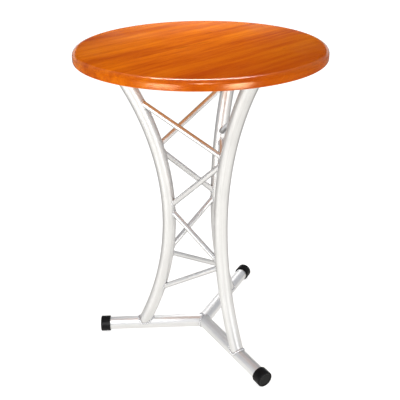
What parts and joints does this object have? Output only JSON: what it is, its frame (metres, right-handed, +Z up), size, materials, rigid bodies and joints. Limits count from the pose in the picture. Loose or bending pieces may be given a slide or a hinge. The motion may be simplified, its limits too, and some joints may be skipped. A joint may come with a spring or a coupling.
{
  "type": "bar table",
  "caption": "Round wooden bar table on a welded aluminium truss column of arched tubes with lattice braces, radial floor tubes and push-on rubber caps.",
  "frame": {"origin": "on the floor, on the vertical axis through the hub and the middle of the top", "axes": "+Z up; the left chord and leg point along -X, the front pair 300 degrees and the rear pair 60 degrees anticlockwise from +X seen from above; the picture looks along about +Y"},
  "size_m": [0.8, 0.8, 1.1],
  "materials": {
    "varnished_wood": "orange-brown varnish, semi-gloss",
    "frame_aluminium": "drawn tube, satin",
    "weld_aluminium": "rippled weld bead",
    "cap_rubber": "moulded, satin black",
    "screw_steel": "zinc plated"
  },
  "bodies": {
    "root": {"table_top": "varnished_wood", "top_screws": "screw_steel", "hub_welds": "weld_aluminium", "chord_left": "frame_aluminium", "leg_left": "frame_aluminium", "mounting_plate_left": "frame_aluminium", "foot_cap_left": "cap_rubber", "foot_weld_left": "weld_aluminium", "plate_weld_left": "weld_aluminium", "brace_welds_left": "weld_aluminium", "chord_front": "frame_aluminium", "leg_front": "frame_aluminium", "mounting_plate_front": "frame_aluminium", "foot_cap_front": "cap_rubber", "foot_weld_front": "weld_aluminium", "plate_weld_front": "weld_aluminium", "brace_welds_front": "weld_aluminium", "chord_rear": "frame_aluminium", "leg_rear": "frame_aluminium", "mounting_plate_rear": "frame_aluminium", "foot_cap_rear": "cap_rubber", "foot_weld_rear": "weld_aluminium", "plate_weld_rear": "weld_aluminium", "brace_welds_rear": "weld_aluminium", "brace_left_front_1": "frame_aluminium", "brace_left_front_2": "frame_aluminium", "brace_left_front_3": "frame_aluminium", "brace_left_front_4": "frame_aluminium", "brace_front_rear_1": "frame_aluminium", "brace_front_rear_2": "frame_aluminium", "brace_front_rear_3": "frame_aluminium", "brace_front_rear_4": "frame_aluminium", "brace_rear_left_1": "frame_aluminium", "brace_rear_left_2": "frame_aluminium", "brace_rear_left_3": "frame_aluminium", "brace_rear_left_4": "frame_aluminium"}
  },
  "joints": []
}
